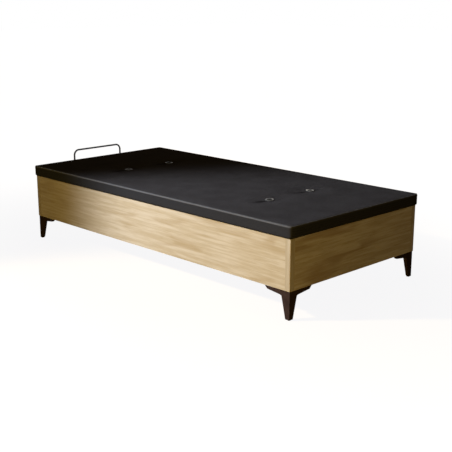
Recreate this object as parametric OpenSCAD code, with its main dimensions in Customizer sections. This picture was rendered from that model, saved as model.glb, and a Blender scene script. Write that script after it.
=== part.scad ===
// End-lift storage bed base: an oak-veneered box on four corner legs, closed by an upholstered lid.
// The head end is at +Y and the foot end, which lifts, at -Y. The floor is z = 0.

/* [Box] */
// Outside width of the box
box_w = 900; // [700:10:1400]
// Outside length of the box
box_l = 1900; // [1700:10:2100]
// Height of the wooden panels
panel_h = 228; // [226:1:320]
// Thickness of the wooden panels
panel_t = 18; // [15:1:18]
// Width of the square corner posts
post_w = 28; // [24:1:32]
// Rounding of the posts' outer edge
post_round = 3; // [1:0.5:6]
// Bevel along the upright joints between panels and posts
joint_bevel = 0.6; // [0.2:0.1:1.5]
// Radius of the dowels that join panels and posts
dowel_r = 4; // [3:0.5:5]
// Depth of a dowel in each of the two pieces that it joins
dowel_depth = 16; // [12:1:20]
// Width and height of the battens under the bottom boards
batten_w = 20; // [18:1:24]
// Thickness of the bottom boards
bottom_t = 6; // [3:1:8]
// Width of the rail that carries the bottom boards across the middle
cross_rail_w = 60; // [40:5:100]

/* [Legs] */
// Height of the legs, with their glides
leg_h = 130; // [80:5:200]
// Distance of the legs' outer faces inside the box's faces
leg_inset = 3; // [0:0.5:6]
// Width of each of a leg's two walls under its wings
leg_top_w = 45; // [40:1:50]
// Width of each of a leg's two walls at the floor
leg_foot_w = 23; // [20:1:30]
// Thickness of a leg's two walls, which meet at its outer corner
leg_wall = 11; // [8:0.5:14]
// Reach of a leg's wings from its outer corner
wing_reach = 142; // [125:1:180]
// Height of a wing beside the post
wing_root_h = 27; // [22:1:34]
// Height of a wing near its end
wing_tip_h = 16; // [12:1:20]
// Length of the sloping end of a wing
wing_slope = 13; // [4:1:20]
// Thickness of the flat plate across a leg's top
leg_plate_t = 5; // [3:0.5:8]
// Radius of the felt glide under a leg
glide_r = 6.5; // [5:0.5:8]
// Thickness of the felt glide
glide_t = 2.5; // [2:0.5:4]
// Radius of the wood screws
screw_r = 2.5; // [2:0.25:3]

/* [Lid] */
// Side of the square steel tubes of the lid's frame
tube_w = 30; // [28:1:32]
// Wall of the steel tubes
tube_wall = 1.5; // [1.2:0.1:2.5]
// Number of tubes across the frame between its ends
cross_tubes = 5; // [3:2:7]
// Thickness of the board on the frame
board_t = 10; // [6:1:16]
// Thickness of the foam layer on the board
foam_t = 8; // [5:1:15]
// Thickness of the cover at its highest, with its own wadding
cover_t = 7.5; // [6:0.5:12]
// Thickness of the cover on the lid's sides
lid_over = 8; // [6:0.5:14]
// Thickness of the cover where it is turned under the frame
hem_t = 2; // [1:0.5:3]
// Width of the frame's tubes left bare inside the turned-under edge
hem_bare = 2; // [1:1:10]
// Crown of the cover from its edge to its middle
crown = 1.5; // [0:0.5:4]
// Rounding of the cover's upper edge
edge_round = 6; // [4:0.5:8]
// Rounding of the cover's corners in plan
corner_round = 9; // [8:1:20]
// How far the cover's sides draw in between their upper and lower edges
side_draw = 0.8; // [0:0.1:2]
// Gap between the box and the cover over it
shadow_gap = 1.5; // [0.5:0.5:4]
// Radius of the rubber bumpers under the lid
bumper_r = 6.5; // [4:0.5:7]

/* [Air vents] */
// Distance of the vents from the lid's middle line
vent_x = 144; // [110:1:200]
// Distance of the head end's vents from the box's head end
vent_head_y = 405; // [310:5:600]
// Distance of the foot end's vents from the box's foot end
vent_foot_y = 445; // [310:5:600]
// Outer radius of a vent's ring
vent_r = 21; // [18:0.5:26]
// Height of a vent's ring over the cover
vent_rise = 3; // [2:0.5:5]
// Inner radius of a vent's tube
vent_bore_r = 12; // [9:0.5:14]
// Wall of a vent's tube
vent_wall = 2; // [1.5:0.5:3]
// Depth of the sewn dimple round a vent
tuft_depth = 5; // [1:0.5:5.5]
// Length of a dimple's folds along the lid's width
tuft_long = 112; // [80:1:130]
// Length of a dimple's folds along the lid's length
tuft_short = 62; // [50:1:80]

/* [Mattress bar] */
// Radius of the bar's rod
bar_r = 5; // [4:0.5:6]
// Distance between the middles of the bar's two uprights
bar_span = 331; // [200:1:500]
// Height of the bar's middle line over the lid
bar_rise = 46; // [30:1:120]
// Distance from the lid's end to the middle of the bar
bar_stand = 28; // [12:1:40]
// Bend radius of the bar's upper corners
bar_top_bend = 30; // [15:1:40]
// Bend radius where the bar turns in towards the lid
bar_low_bend = 18; // [12:1:18]
// Length of threaded rod behind the frame's end tube
bar_tail = 14; // [12:1:20]
// Clearance round the bar in the frame
bar_play = 0.2; // [0.1:0.1:0.5]

/* [Lift mechanism] */
// Distance of an arm's fixed pivot from the head panel
arm_pivot_in = 440; // [430:1:460]
// Depth of an arm's fixed pivot below the box's top edge
arm_pivot_down = 60; // [58:1:66]
// Distance of the lid's pivot from the head panel
lid_pivot_in = 198; // [190:1:210]
// Depth of the lid's pivot below the box's top edge
lid_pivot_down = 98; // [94:1:104]
// Distance of the guide pin from the head panel
guide_in = 48; // [46:1:60]
// Height of the guide pin over the bottom boards
guide_lift = 24; // [21:1:40]
// Swing of the arms from closed to open
arm_swing = 60; // [30:1:60]
// Tilt of the lid from closed to open
lid_open = 42; // [20:1:42]
// Thickness of the steel plates that are screwed to the panels
guide_plate_t = 4; // [3:0.5:4]
// Thickness of the arms
arm_t = 5; // [4:0.5:6]
// Half the width of an arm
arm_r = 14; // [12:0.5:16]
// Thickness of the brackets on the lid's frame
bracket_t = 4; // [3:0.5:5]
// Radius of the pivot pins
pin_r = 5; // [4:0.5:6]
// Wall of the bushes in the arms
bush_wall = 2; // [1:0.5:3]
// Radius of the guide pins
guide_r = 6; // [5:0.5:7]
// Clearance on each side of a guide pin in its slot
guide_play = 0.3; // [0.2:0.05:0.5]
// Clearance of the pins in their bores
pin_play = 0.05; // [0.02:0.01:0.1]

/* [Gas springs] */
// Distance from the arm's pivot to both ends of a gas spring
gas_reach = 140; // [130:1:145]
// Angle of a gas spring's upper end over the level of the arm's pivot
gas_ear_angle = 15; // [10:1:15]
// Height of a gas spring's lower end over the level of the guide pin
gas_base_lift = 11; // [4:1:14]
// Outer radius of a gas spring's cylinder
gas_r = 9; // [8:0.5:9]
// Wall of a gas spring's cylinder
gas_wall = 1.5; // [1:0.5:2]
// Radius of a gas spring's rod
gas_rod_r = 4; // [3:0.5:5]
// Radius of the studs that carry the gas springs
stud_r = 4; // [3:0.5:4.5]

/* [Hidden] */
$fn = 48;

// Heights
box_top = leg_h + panel_h;
cover_low = box_top + shadow_gap;
frame_low = cover_low + hem_t;
frame_top = frame_low + tube_w;
board_top = frame_top + board_t;
foam_top = board_top + foam_t;
lid_top = foam_top + cover_t;
bottom_top = leg_h + batten_w + bottom_t;

// The origin lies under the middle of the whole outline, so the box sits off it by half the bar's extra reach
mid_y = (bar_stand + bar_r) / 2;
head_y = mid_y + box_l / 2;
foot_y = mid_y - box_l / 2;
head_in = head_y - panel_t;
half_w = box_w / 2;
lid_x = half_w + lid_over;
lid_y = box_l / 2 + lid_over;

// Planes of the plates beside each long panel, named for the +X side
plate_x = half_w - panel_t - guide_plate_t;
rail_x = half_w - tube_w;
arm_gap = (plate_x - rail_x - arm_t) / 2;
arm_x = rail_x + arm_gap;
bracket_x = rail_x - bracket_t;
face_play = 0.1;
head_t = 3;
hem_w = tube_w - hem_bare;
gas_x = bracket_x - 7;
gas_eye_r = 8;
gas_eye_w = 12;
gas_neck = 12;

dark_steel = [0.13, 0.13, 0.14];
zinc = [0.72, 0.73, 0.75];
oak = [0.84, 0.75, 0.6];
leg_brown = [0.25, 0.19, 0.19];

// Row position [y, z] of a place beside the head panel, from its distance inwards and its height over the box
function spot(inward, up) = [head_in - inward, box_top + up];
function turn(v, a) = [v.x * cos(a) - v.y * sin(a), v.x * sin(a) + v.y * cos(a)];

guide_down = box_top - bottom_top - guide_lift;
gas_base_angle = asin((guide_down - gas_base_lift - arm_pivot_down) / gas_reach);
arm_foot = spot(arm_pivot_in, -arm_pivot_down);
lid_pivot = spot(lid_pivot_in, -lid_pivot_down);
guide_at = spot(guide_in, -guide_down);
gas_ear = arm_foot + gas_reach * [cos(gas_ear_angle), sin(gas_ear_angle)];
gas_base = arm_foot + gas_reach * [cos(gas_base_angle), -sin(gas_base_angle)];
gas_closed = norm(gas_ear - gas_base);
gas_angle = atan2(gas_ear.y - gas_base.y, gas_ear.x - gas_base.x);
gas_open = 2 * gas_reach * sin((gas_ear_angle + gas_base_angle + arm_swing) / 2);

// Place of a point of the lid when the lift is opened by share t, from 0 to 1
function lid_moved(p, t) =
    arm_foot + turn(lid_pivot - arm_foot, arm_swing * t) + turn(p - lid_pivot, -lid_open * t);

// Outline round a run of points, r away from them all: a round corner where it turns outwards
function area(pts) = let (n = len(pts))
    [for (i = [0:n - 1]) cross(pts[i], pts[(i + 1) % n])] * [for (i = [0:n - 1]) 0.5];
function wound(pts) = area(pts) < 0 ? [for (i = [len(pts) - 1:-1:0]) pts[i]] : pts;
function facing(p, q) = atan2(p.x - q.x, q.y - p.y);
function rounded(list, r) = let (pts = wound(list), n = len(pts)) [
    for (i = [0:n - 1])
        let (a = facing(pts[(i + n - 1) % n], pts[i]), b = facing(pts[i], pts[(i + 1) % n]),
             sweep = (b - a + 720) % 360, outward = sweep > 2 && sweep < 180,
             steps = outward ? ceil(sweep / 15) : 0, mid = sweep < 180 ? sweep / 2 : sweep / 2 - 180)
            for (k = [0:steps]) outward
                ? pts[i] + r * [cos(a + sweep * k / steps), sin(a + sweep * k / steps)]
                : pts[i] + r / cos(mid) * [cos(a + mid), sin(a + mid)]
];

// A piece drawn on the +X side, or its mirror image on the -X side
module on_side(side) {
    if (side > 0) children();
    else mirror([1, 0, 0]) children();
}

// A flat plate that stands along Y and Z, from x outwards by t
module upright_plate(x, t) {
    translate([x, 0, 0]) rotate([90, 0, 90]) linear_extrude(t) children();
}

// A round bar along X, from x outwards by len, at place [y, z]
module cross_pin(x, place, r, len) {
    translate([x, place.x, place.y]) rotate([0, 90, 0]) cylinder(h = len, r = r);
}

// A bar along Y, from y by len
module long_pin(x, y, z, r, len) {
    translate([x, y, z]) rotate([-90, 0, 0]) cylinder(h = len, r = r);
}

// ---------------------------------------------------------------- box

post_in = post_w - panel_t;
side_dowel_heights = [panel_h * 0.2, panel_h * 0.8];
end_dowel_heights = [panel_h * 0.32, panel_h * 0.68];
dowel_play = 0.05;

// The dowels of one long panel's ends, on the +X side, with room round them
module side_dowels(room) {
    for (h = side_dowel_heights, y = [foot_y + post_w, head_y - post_w])
        long_pin(half_w - panel_t / 2, y - dowel_depth - room, leg_h + h, dowel_r + room,
                 2 * (dowel_depth + room));
}

// The dowels of one end panel's ends, at the row place y
module end_dowels(y, room) {
    for (h = end_dowel_heights, side = [-1, 1])
        cross_pin(side * (half_w - post_w) - dowel_depth - room, [y, leg_h + h], dowel_r + room,
                  2 * (dowel_depth + room));
}

// Plan of a panel, its outer face at the top, with bevels at both ends of that face
module panel_plan(len) {
    polygon([[-len / 2, 0], [len / 2, 0], [len / 2, panel_t - joint_bevel],
             [len / 2 - joint_bevel, panel_t], [joint_bevel - len / 2, panel_t],
             [-len / 2, panel_t - joint_bevel]]);
}

module side_panel(side) {
    color(oak) on_side(side) difference() {
        translate([half_w - panel_t, mid_y, leg_h]) rotate([0, 0, -90])
            linear_extrude(panel_h) panel_plan(box_l - 2 * post_w);
        side_dowels(dowel_play);
        plate_screw_set(pin_play);
    }
}

module end_panel(at_head) {
    y = at_head ? head_in : foot_y + panel_t;
    color(oak) difference() {
        translate([0, y, leg_h]) rotate([0, 0, at_head ? 0 : 180])
            linear_extrude(panel_h) panel_plan(box_w - 2 * post_w);
        end_dowels(at_head ? head_y - panel_t / 2 : foot_y + panel_t / 2, dowel_play);
    }
}

// Plan of a post with its rounded outer edge at the corner of the first quarter
module post_plan() {
    b = joint_bevel;
    c = post_w - post_round;
    polygon(concat(
        [[0, 0], [post_w, 0], [post_w, b], [post_w - b, b], [post_w, 2 * b]],
        [for (i = [0:6]) [c, c] + post_round * [cos(15 * i), sin(15 * i)]],
        [[2 * b, post_w], [b, post_w - b], [b, post_w], [0, post_w]]));
}

module corner_post(side, at_head) {
    color(oak) on_side(side) difference() {
        translate([half_w, at_head ? head_y : foot_y, leg_h]) rotate([0, 0, at_head ? 0 : -90])
            translate([-post_w, -post_w, 0]) linear_extrude(panel_h) square(post_w);
        corner_round_off(at_head);
        side_dowels(dowel_play);
        end_dowels(at_head ? head_y - panel_t / 2 : foot_y + panel_t / 2, dowel_play);
    }
}

// What the rounding takes off a post's outer edge
module corner_round_off(at_head) {
    out = at_head ? 1 : -1;
    x = half_w - post_round;
    y = (at_head ? head_y : foot_y) - out * post_round;
    over = 1;
    translate([x, y, leg_h - over]) difference() {
        translate([0, at_head ? 0 : -post_round - over, 0])
            cube([post_round + over, post_round + over, panel_h + 2 * over]);
        cylinder(h = panel_h + 2 * over, r = post_round);
    }
}

module corner_dowels() {
    color("burlywood") {
        for (side = [-1, 1]) on_side(side) side_dowels(0);
        for (y = [head_y - panel_t / 2, foot_y + panel_t / 2]) end_dowels(y, 0);
    }
}

batten_x = half_w - panel_t - batten_w;

module side_batten(side) {
    color("tan") on_side(side) difference() {
        translate([batten_x, foot_y + post_w, leg_h])
            cube([batten_w, box_l - 2 * post_w, batten_w]);
        leg_screw_set(pin_play);
    }
}

module end_batten(at_head) {
    color("tan") difference() {
        translate([-half_w + post_w, at_head ? head_in - batten_w : foot_y + panel_t, leg_h])
            cube([box_w - 2 * post_w, batten_w, batten_w]);
        for (side = [-1, 1]) on_side(side) {
            leg_screw_set(pin_play);
            translate([batten_x, foot_y + post_w, leg_h - 1])
                cube([batten_w + 1, box_l - 2 * post_w, batten_w + 2]);
        }
    }
}

module cross_rail() {
    color("tan") translate([-batten_x, mid_y - cross_rail_w / 2, leg_h])
        cube([2 * batten_x, cross_rail_w, batten_w]);
}

// One half of the bottom, notched round the posts
module bottom_board(at_head) {
    slack = 0.5;
    w = box_w - 2 * panel_t - 2 * slack;
    l = box_l / 2 - panel_t - slack;
    color("wheat") difference() {
        translate([-w / 2, at_head ? mid_y + slack / 2 : foot_y + panel_t + slack, leg_h + batten_w])
            cube([w, l - slack / 2, bottom_t]);
        for (side = [-1, 1]) on_side(side)
            translate([half_w - post_w - slack, at_head ? head_y - post_w - slack : foot_y - 1,
                       leg_h + batten_w - 1])
                cube([post_w + 2, post_w + slack + 1, bottom_t + 2]);
    }
}

// ---------------------------------------------------------------- legs

wing_screw_at = [leg_top_w + 12, wing_reach - 34];
leg_screw_len = 18;
leg_mid = leg_wall + (leg_top_w - leg_wall) / 2;
screw_head_r = 2 * screw_r;

// Side view of a leg's wall with its wing, from the leg's outer upright edge
module leg_wall_view() {
    polygon([[0, glide_t], [leg_foot_w, glide_t], [leg_top_w, leg_h - wing_root_h - 6],
             [leg_top_w + 2, leg_h - wing_root_h], [leg_top_w + 10, leg_h - wing_root_h + 3],
             [wing_reach - wing_slope - 5, leg_h - wing_tip_h],
             [wing_reach - wing_slope, leg_h - wing_tip_h + 1],
             [wing_reach - 2, leg_h - 4], [wing_reach, leg_h], [0, leg_h]]);
}

// A side view stood up along X, and along Y, reaching w across
module along_x(w) { translate([0, w, 0]) rotate([90, 0, 0]) linear_extrude(w) children(); }
module along_y(w) { rotate([90, 0, 90]) linear_extrude(w) children(); }

// A leg with its outer corner at the origin: two walls towards +X and +Y, with a bevel in the
// corner between them and a flat plate across the top
module leg_body() {
    bevel = leg_wall + (leg_foot_w - leg_wall) * 0.6;
    difference() {
        union() {
            along_x(leg_wall) leg_wall_view();
            along_y(leg_wall) leg_wall_view();
            translate([0, 0, glide_t]) linear_extrude(leg_h - glide_t)
                polygon([[0, 0], [bevel, 0], [bevel, leg_wall], [leg_wall, bevel], [0, bevel]]);
            intersection() {
                union() {
                    along_x(leg_top_w) leg_wall_view();
                    along_y(leg_top_w) leg_wall_view();
                }
                translate([0, 0, leg_h - leg_plate_t]) cube([wing_reach, wing_reach, leg_plate_t]);
            }
        }
        for (at = wing_screw_at, p = [[at, leg_mid], [leg_mid, at]])
            translate([p.x, p.y, leg_h - leg_plate_t - 1])
                cylinder(h = leg_plate_t + 2, r = screw_r + pin_play);
    }
}

// Turns the first quarter's corner piece into the one at this corner of the box
module at_corner(side, at_head) {
    translate([side * (half_w - leg_inset), at_head ? head_y - leg_inset : foot_y + leg_inset, 0])
        mirror([side > 0 ? 1 : 0, 0, 0]) mirror([0, at_head ? 1 : 0, 0]) children();
}

module leg(side, at_head) {
    color(leg_brown) at_corner(side, at_head) leg_body();
}

// The screws of the two legs on the +X side, with room round their shanks
module leg_screw_set(room) {
    for (head = [false, true]) at_corner(1, head)
        for (at = wing_screw_at, p = [[at, leg_mid], [leg_mid, at]])
            translate([p.x, p.y, leg_h - leg_plate_t])
                cylinder(h = leg_screw_len + room, r = screw_r + room);
}

module leg_screws() {
    color(zinc) for (side = [-1, 1]) on_side(side) {
        leg_screw_set(0);
        for (head = [false, true]) at_corner(1, head)
            for (at = wing_screw_at, p = [[at, leg_mid], [leg_mid, at]])
                translate([p.x, p.y, leg_h - leg_plate_t - head_t])
                    cylinder(h = head_t, r = screw_head_r);
    }
}

module leg_glides() {
    c = leg_wall * 0.8;
    color([0.2, 0.2, 0.2]) for (side = [-1, 1], head = [false, true])
        at_corner(side, head) translate([c, c, 0]) cylinder(h = glide_t, r = glide_r);
}

// ---------------------------------------------------------------- lift mechanism on the box

slot_steps = 36;
slot_half = guide_r + guide_play;
plate_corner_r = 12;
plate_corners = [
    spot(guide_in, -guide_down), spot(guide_in + 4, -guide_down + 70),
    lid_moved(guide_at, 1) + [30, 0], lid_moved(guide_at, 1) - [20, 0],
    arm_foot + [0, 22], arm_foot - [22, 4], gas_base - [40, 6], gas_base - [0, 14]
];
plate_screw_spots = [
    spot(guide_in + 28, -guide_down + 4), spot(guide_in + 26, -guide_down + 78),
    spot(lid_pivot_in + 60, -guide_down + 12), spot(lid_pivot_in + 102, -guide_down + 132),
    gas_base - [34, -4], arm_foot - [12, -14]
];
plate_screw_len = 15;

// Outline of the curved slot that the guide pin runs in: both long sides and both round ends
function slot_along(t) =
    let (d = lid_moved(guide_at, t + 0.001) - lid_moved(guide_at, t - 0.001)) atan2(d.y, d.x);
slot_outline = concat(
    [for (i = [0:slot_steps]) let (t = i / slot_steps, a = slot_along(t))
        lid_moved(guide_at, t) + slot_half * [sin(a), -cos(a)]],
    [for (k = [1:9]) let (a = slot_along(1) - 90 + 18 * k)
        lid_moved(guide_at, 1) + slot_half * [cos(a), sin(a)]],
    [for (i = [slot_steps:-1:0]) let (t = i / slot_steps, a = slot_along(t))
        lid_moved(guide_at, t) - slot_half * [sin(a), -cos(a)]],
    [for (k = [1:9]) let (a = slot_along(0) + 90 + 18 * k)
        lid_moved(guide_at, 0) + slot_half * [cos(a), sin(a)]]);

// The countersunk screws of one guide plate on the +X side, with room round them
module plate_screw_set(room) {
    for (p = plate_screw_spots) translate([plate_x, p.x, p.y]) rotate([0, 90, 0])
        rotate_extrude() polygon([
            [0, -room], [screw_head_r + room, -room], [screw_head_r + room, 0],
            [screw_r + room, screw_r], [screw_r + room, plate_screw_len + room],
            [0, plate_screw_len + room]]);
}

module guide_plate(side) {
    color(dark_steel) on_side(side) difference() {
        upright_plate(plate_x, guide_plate_t) difference() {
            polygon(rounded(plate_corners, plate_corner_r));
            polygon(slot_outline);
            translate(arm_foot) circle(pin_r + pin_play);
            translate(gas_base) circle(stud_r + pin_play);
        }
        plate_screw_set(pin_play);
    }
}

module guide_plate_screws() {
    color(zinc) for (side = [-1, 1]) on_side(side) plate_screw_set(0);
}

// Pins fixed in the guide plates, with a collar and a head on either side of the arm
module arm_pivot_pins() {
    collar = arm_gap - face_play;
    color(zinc) for (side = [-1, 1]) on_side(side) {
        cross_pin(arm_x, arm_foot, pin_r, plate_x + guide_plate_t - arm_x);
        cross_pin(plate_x - collar, arm_foot, arm_r * 0.7, collar);
        cross_pin(arm_x - face_play - head_t, arm_foot, arm_r * 0.7, head_t);
        cross_pin(arm_x - face_play, arm_foot, pin_r, face_play);
    }
}

// A stud for a gas spring's eye, from x inwards, with its shoulder and head
module gas_stud(place, x) {
    eye_low = gas_x - gas_eye_w / 2;
    eye_high = gas_x + gas_eye_w / 2;
    cross_pin(eye_low - face_play, place, stud_r, x - eye_low + face_play);
    cross_pin(eye_high + face_play, place, stud_r + 2, bracket_x - eye_high - face_play);
    cross_pin(eye_low - face_play - 2, place, stud_r + 2.5, 2);
}

module gas_base_studs() {
    color(zinc) for (side = [-1, 1]) on_side(side) gas_stud(gas_base, plate_x + guide_plate_t);
}

// ---------------------------------------------------------------- lid frame

module tube_along_y(x) {
    translate([x, foot_y, frame_low]) difference() {
        cube([tube_w, box_l, tube_w]);
        translate([tube_wall, -1, tube_wall])
            cube([tube_w - 2 * tube_wall, box_l + 2, tube_w - 2 * tube_wall]);
    }
}

module tube_along_x(y) {
    translate([-rail_x, y, frame_low]) difference() {
        cube([2 * rail_x, tube_w, tube_w]);
        translate([-1, tube_wall, tube_wall])
            cube([2 * rail_x + 2, tube_w - 2 * tube_wall, tube_w - 2 * tube_wall]);
    }
}

module frame_rail(side) {
    color(dark_steel) on_side(side) difference() {
        tube_along_y(rail_x);
        bracket_bolt_set(pin_play);
        side_bumper_set(bumper_pin_r + pin_play);
    }
}

module end_rail(at_head) {
    color(dark_steel) difference() {
        tube_along_x(at_head ? head_y - tube_w : foot_y);
        if (!at_head) bar_holes(bar_r + bar_play, foot_y - 1, tube_w + 2);
        end_bumper_set(bumper_pin_r + pin_play);
    }
}

module frame_cross_tubes() {
    pitch = (box_l - tube_w) / (cross_tubes + 1);
    color(dark_steel) for (i = [1:cross_tubes]) tube_along_x(foot_y + i * pitch);
}

// How far the vents' rows lie from the lid's middle along its length
vent_head_at = box_l / 2 - vent_head_y;
vent_foot_at = box_l / 2 - vent_foot_y;

module vent_places() {
    for (x = [-vent_x, vent_x], y = [-vent_foot_at, vent_head_at]) translate([x, mid_y + y, 0]) children();
}

vent_tube_r = vent_bore_r + vent_wall;
vent_play = 0.3;

module lid_board() {
    color("peru") difference() {
        translate([-half_w, foot_y, frame_top]) cube([box_w, box_l, board_t]);
        vent_places() translate([0, 0, frame_top - 1]) cylinder(h = board_t + 2, r = vent_tube_r + vent_play);
    }
}

module foam_pad() {
    color("whitesmoke") difference() {
        translate([-half_w, foot_y, board_top]) cube([box_w, box_l, foam_t]);
        vent_places() translate([0, 0, board_top - 1]) cylinder(h = foam_t + 2, r = vent_tube_r + vent_play);
    }
}

// ---------------------------------------------------------------- cover

// Stations across half the cover and from its middle to each end: close at the vents and at the edge
seat = vent_r + 2;
edge_marks = [edge_round, edge_round * 0.3, 0];
x_marks = concat([0], [for (d = [-95, -60, -seat, seat, 60, 110]) vent_x + d],
                 [lid_x - 55], [for (d = edge_marks) lid_x - d]);
function y_marks(y) = concat(
    [0, y / 3, y * 2 / 3], [for (d = [-85, -50, -seat, seat, 50, 85, 170]) y + d],
    [lid_y - 130, lid_y - 45], [for (d = edge_marks) lid_y - d]);
function both_ways(low, high) = concat([for (i = [len(low) - 1:-1:1]) -low[i]], high);
cols = both_ways(x_marks, x_marks);
rows = both_ways(y_marks(vent_foot_at), y_marks(vent_head_at));
n_cols = len(cols);
n_rows = len(rows);

// The square corners of the station grid drawn in to round ones
function drawn_in(x, y) = let (
    r = corner_round,
    u = max(0, abs(x) - lid_x + r), v = max(0, abs(y) - lid_y + r),
    su = u * sqrt(1 - v * v / (2 * r * r)), sv = v * sqrt(1 - u * u / (2 * r * r)))
    [sign(x) * (abs(x) - u + su), sign(y) * (abs(y) - v + sv)];

// Distance of a place from the cover's outline
function inset(p) = let (
    r = corner_round,
    u = abs(p.x) - lid_x + r, v = abs(p.y) - lid_y + r)
    (u > 0 && v > 0) ? r - norm([u, v]) : r - max(u, v);

function smooth(t) = let (c = min(1, max(0, t))) c * c * (3 - 2 * c);
function crowned(x, y) = lid_top - crown * smooth(max(abs(x) / lid_x, abs(y) / lid_y) ^ 4);
vent_seat_z = crowned(vent_x, vent_foot_at) - tuft_depth;
tuft_seat = seat * sqrt(2) + 0.2;

// How far a place is drawn down towards the nearest vent: 1 on the vent's seat, 0 beyond its folds
function tufted(x, y) = let (
    dx = abs(abs(x) - vent_x), dy = abs(y < 0 ? y + vent_foot_at : y - vent_head_at), d = norm([dx, dy]),
    reach = d == 0 ? 1 : norm([tuft_long * dx, tuft_short * dy]) / d)
    1 - smooth((d - tuft_seat) / max(1, reach - tuft_seat * 0.2));
function top_height(p) = let (
    s = inset(p), w = tufted(p.x, p.y), k = max(0, edge_round - s),
    z = crowned(p.x, p.y) * (1 - w) + vent_seat_z * w)
    z - edge_round + sqrt(max(0, edge_round * edge_round - k * k));

// Rings of the side under the rounded edge: [height, how far the cover draws in there]
side_h = lid_top - crown - edge_round - cover_low;
side_rings = [[cover_low + side_h * 0.5, side_draw], [cover_low + 6, side_draw * 0.4],
              [cover_low + 2, 1.6], [cover_low, 4.5]];

rim = concat([for (i = [0:n_cols - 1]) [cols[i], -lid_y]], [for (j = [1:n_rows - 1]) [lid_x, rows[j]]],
             [for (i = [n_cols - 2:-1:0]) [cols[i], lid_y]], [for (j = [n_rows - 2:-1:1]) [-lid_x, rows[j]]]);
n_rim = len(rim);
rim_index = concat([for (i = [0:n_cols - 1]) i], [for (j = [1:n_rows - 1]) j * n_cols + n_cols - 1],
                   [for (i = [n_cols - 2:-1:0]) (n_rows - 1) * n_cols + i],
                   [for (j = [n_rows - 2:-1:1]) j * n_cols]);

// The solid block of the cover's outer form, before the frame, board and foam are taken out of it
module cover_form() {
    top = [for (y = rows, x = cols) let (p = drawn_in(x, y)) [p.x, p.y, top_height(p)]];
    sides = [for (ring = side_rings, p = rim) let (q = drawn_in(p.x, p.y))
        [q.x * (1 - ring[1] / lid_x), q.y * (1 - ring[1] / lid_y), ring[0]]];
    base = n_cols * n_rows;
    middle = base + len(side_rings) * n_rim;
    function ring_index(ring, k) = ring == 0 ? rim_index[k % n_rim] : base + (ring - 1) * n_rim + k % n_rim;
    faces = concat(
        [for (j = [0:n_rows - 2], i = [0:n_cols - 2], half = [0, 1])
            let (a = j * n_cols + i, b = a + n_cols)
            half == 0 ? [a, b, b + 1] : [a, b + 1, a + 1]],
        [for (ring = [0:len(side_rings) - 1], k = [0:n_rim - 1], half = [0, 1])
            half == 0 ? [ring_index(ring, k), ring_index(ring, k + 1), ring_index(ring + 1, k + 1)]
                      : [ring_index(ring, k), ring_index(ring + 1, k + 1), ring_index(ring + 1, k)]],
        [for (k = [0:n_rim - 1]) [ring_index(len(side_rings), k), ring_index(len(side_rings), k + 1), middle]]);
    translate([0, mid_y, 0])
        polyhedron(points = concat(top, sides, [[0, 0, cover_low]]), faces = faces);
}

module lid_cover() {
    color([0.16, 0.16, 0.17]) difference() {
        cover_form();
        translate([-half_w, foot_y, frame_low]) cube([box_w, box_l, foam_top - frame_low]);
        translate([hem_w - half_w, foot_y + hem_w, cover_low - 1])
            cube([box_w - 2 * hem_w, box_l - 2 * hem_w, hem_t + 2]);
        vent_places() translate([0, 0, foam_top - 1]) cylinder(h = cover_t + 2, r = vent_tube_r + vent_play);
        for (side = [-1, 1]) on_side(side) side_bumper_set(bumper_r + vent_play);
        end_bumper_set(bumper_r + vent_play);
        bar_holes(sleeve_r + vent_play, foot_y - lid_over - 1, lid_over + 2);
    }
}

// ---------------------------------------------------------------- bumpers

bumper_pin_r = 2.5;
bumper_edge = half_w - panel_t / 2;
bumper_end = panel_t / 2;

// Upright cylinders of radius r at the bumpers of the +X side, from the box's edge into the frame
module side_bumper_set(r) {
    for (y = [foot_y + box_l * 0.08, mid_y, head_y - box_l * 0.08])
        translate([bumper_edge, y, box_top - 1]) cylinder(h = shadow_gap + hem_t + tube_wall + 2, r = r);
}

// The same at the two ends
module end_bumper_set(r) {
    for (y = [foot_y + bumper_end, head_y - bumper_end], x = [-box_w / 4, box_w / 4])
        translate([x, y, box_top - 1]) cylinder(h = shadow_gap + hem_t + tube_wall + 2, r = r);
}

module bumper(x, y) {
    translate([x, y, box_top]) {
        cylinder(h = frame_low - box_top, r = bumper_r);
        cylinder(h = frame_low - box_top + tube_wall + 1, r = bumper_pin_r);
    }
}

module lid_bumpers() {
    color([0.08, 0.08, 0.08]) {
        for (x = [-bumper_edge, bumper_edge], y = [foot_y + box_l * 0.08, mid_y, head_y - box_l * 0.08])
            bumper(x, y);
        for (y = [foot_y + bumper_end, head_y - bumper_end], x = [-box_w / 4, box_w / 4]) bumper(x, y);
    }
}

// ---------------------------------------------------------------- vents

nut_t = 4;
grille_r = vent_bore_r + vent_wall / 2;

module vent_rings() {
    thread_low = frame_top - nut_t - 2;
    bead = vent_rise / 2;
    color([0.09, 0.09, 0.1]) vent_places() difference() {
        union() {
            translate([0, 0, vent_seat_z]) cylinder(h = bead, r = vent_r);
            translate([0, 0, vent_seat_z + bead]) rotate_extrude()
                intersection() {
                    translate([vent_r - bead, 0]) circle(bead);
                    translate([0, 0]) square([vent_r, bead]);
                }
            translate([0, 0, vent_seat_z + bead]) cylinder(h = bead, r = vent_r - bead);
            translate([0, 0, thread_low]) cylinder(h = vent_seat_z - thread_low, r = vent_tube_r);
        }
        translate([0, 0, thread_low - 1]) cylinder(h = lid_top - thread_low + 2, r = vent_bore_r);
        translate([0, 0, vent_seat_z]) cylinder(h = lid_top, r = grille_r);
    }
}

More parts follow.
